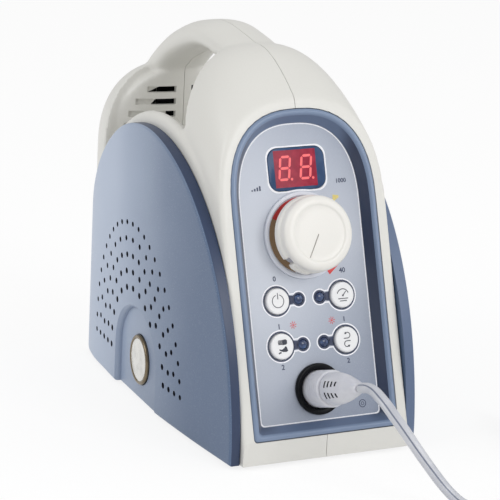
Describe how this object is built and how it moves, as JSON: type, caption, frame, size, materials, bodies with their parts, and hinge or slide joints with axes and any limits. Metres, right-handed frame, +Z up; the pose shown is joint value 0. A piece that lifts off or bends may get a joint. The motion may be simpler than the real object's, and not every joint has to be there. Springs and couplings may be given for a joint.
{
  "type": "surgical micromotor",
  "caption": "Portable control unit for a surgical micromotor: arched housing with carrying handle, sloping panel with display, speed knob and buttons, plugged lead and straight handpiece.",
  "frame": {"origin": "on the supporting surface, under the middle of the unit's bounding box without its lead and handpiece", "axes": "+X to the right of someone who faces the panel, +Y from the panel to the rear, +Z up"},
  "size_m": [0.1906, 0.4006, 0.2043],
  "materials": {
    "ivory_plastic": "satin moulded",
    "pad_plastic": "satin, printed with dots",
    "rim_plastic": "glossy painted",
    "panel_film": "pale metallic film",
    "black_plastic": "fine texture",
    "white_plastic": "satin",
    "red_filter": "dark red tinted",
    "cord_silicone": "matt silicone",
    "steel": "satin",
    "circuit_board": "solder mask",
    "lamp_lens": "tinted lens",
    "copper_winding": "varnished"
  },
  "bodies": {
    "unit": {"housing_right": "ivory_plastic", "housing_left": "ivory_plastic", "side_pad_right": "pad_plastic", "side_pad_left": "pad_plastic", "panel_rim": "rim_plastic", "panel_plate": "panel_film", "speed_dial": "white_plastic", "display_window": "red_filter", "display_module": "red_filter", "panel_board": "circuit_board", "main_board": "circuit_board", "lamp_power": "lamp_lens", "lamp_cruise": "lamp_lens", "lamp_control": "lamp_lens", "lamp_direction": "lamp_lens", "speed_potentiometer": "black_plastic", "switch_power": "black_plastic", "switch_cruise": "black_plastic", "switch_control": "black_plastic", "switch_direction": "black_plastic", "motor_socket": "black_plastic", "base_plate": "black_plastic", "foot_left_front": "black_plastic", "foot_left_rear": "black_plastic", "foot_right_front": "black_plastic", "foot_right_rear": "black_plastic", "mains_inlet": "black_plastic", "rocker_frame": "black_plastic", "fuse_holder": "black_plastic", "foot_control_jack": "black_plastic", "motor_plug": "cord_silicone", "plug_relief": "cord_silicone", "motor_cord": "cord_silicone", "cord_coil": "cord_silicone", "handpiece_cord": "cord_silicone", "handpiece_boot": "cord_silicone", "badge_right": "steel", "badge_left": "steel", "handpiece_motor": "steel", "handpiece_nose": "steel", "screw_left_front": "steel", "screw_left_rear": "steel", "screw_right_front": "steel", "screw_right_rear": "steel", "heat_sink": "steel", "rear_plate": "steel", "transformer": "copper_winding"},
    "knob": {"speed_knob": "white_plastic", "knob_shaft": "steel"},
    "power_button": {"button_power": "white_plastic"},
    "cruise_button": {"button_cruise": "white_plastic"},
    "control_button": {"button_control": "white_plastic"},
    "direction_button": {"button_direction": "white_plastic"},
    "power_rocker": {"rocker": "black_plastic"},
    "fuse_drawer": {"fuse_cap": "black_plastic"},
    "tool_lock": {"lock_ring": "steel"},
    "tool_spindle": {"spindle": "steel"}
  },
  "joints": [
    {"name": "speed_knob_turn", "type": "hinge", "parent": "unit", "child": "knob", "pos_m": [0, -0.0799, 0.11264], "axis": [0, 0.9511, -0.309], "range_deg": [0, 290]},
    {"name": "power_press", "type": "slide", "parent": "unit", "child": "power_button", "axis": [0, 0.9511, -0.309], "range_m": [0, 0.001], "stiffness_N_per_m": 600, "springref_m": -0.0006},
    {"name": "cruise_press", "type": "slide", "parent": "unit", "child": "cruise_button", "axis": [0, 0.9511, -0.309], "range_m": [0, 0.001], "stiffness_N_per_m": 600, "springref_m": -0.0006},
    {"name": "control_press", "type": "slide", "parent": "unit", "child": "control_button", "axis": [0, 0.9511, -0.309], "range_m": [0, 0.001], "stiffness_N_per_m": 600, "springref_m": -0.0006},
    {"name": "direction_press", "type": "slide", "parent": "unit", "child": "direction_button", "axis": [0, 0.9511, -0.309], "range_m": [0, 0.001], "stiffness_N_per_m": 600, "springref_m": -0.0006},
    {"name": "power_rocker_tilt", "type": "hinge", "parent": "unit", "child": "power_rocker", "pos_m": [-0.0115, 0.10938, 0.064], "axis": [1, 0, 0], "range_deg": [-9, 0]},
    {"name": "fuse_cap_turn", "type": "hinge", "parent": "unit", "child": "fuse_drawer", "pos_m": [0.0125, 0.11018, 0.064], "axis": [0, 1, 0], "range_deg": [0, 60]},
    {"name": "tool_lock_turn", "type": "hinge", "parent": "unit", "child": "tool_lock", "pos_m": [0.122, -0.13482, 0.0133], "axis": [0, 1, 0], "range_deg": [0, 60]},
    {"name": "spindle_spin", "type": "hinge", "parent": "unit", "child": "tool_spindle", "pos_m": [0.122, -0.13482, 0.0133], "axis": [0, 1, 0], "continuous": true}
  ]
}
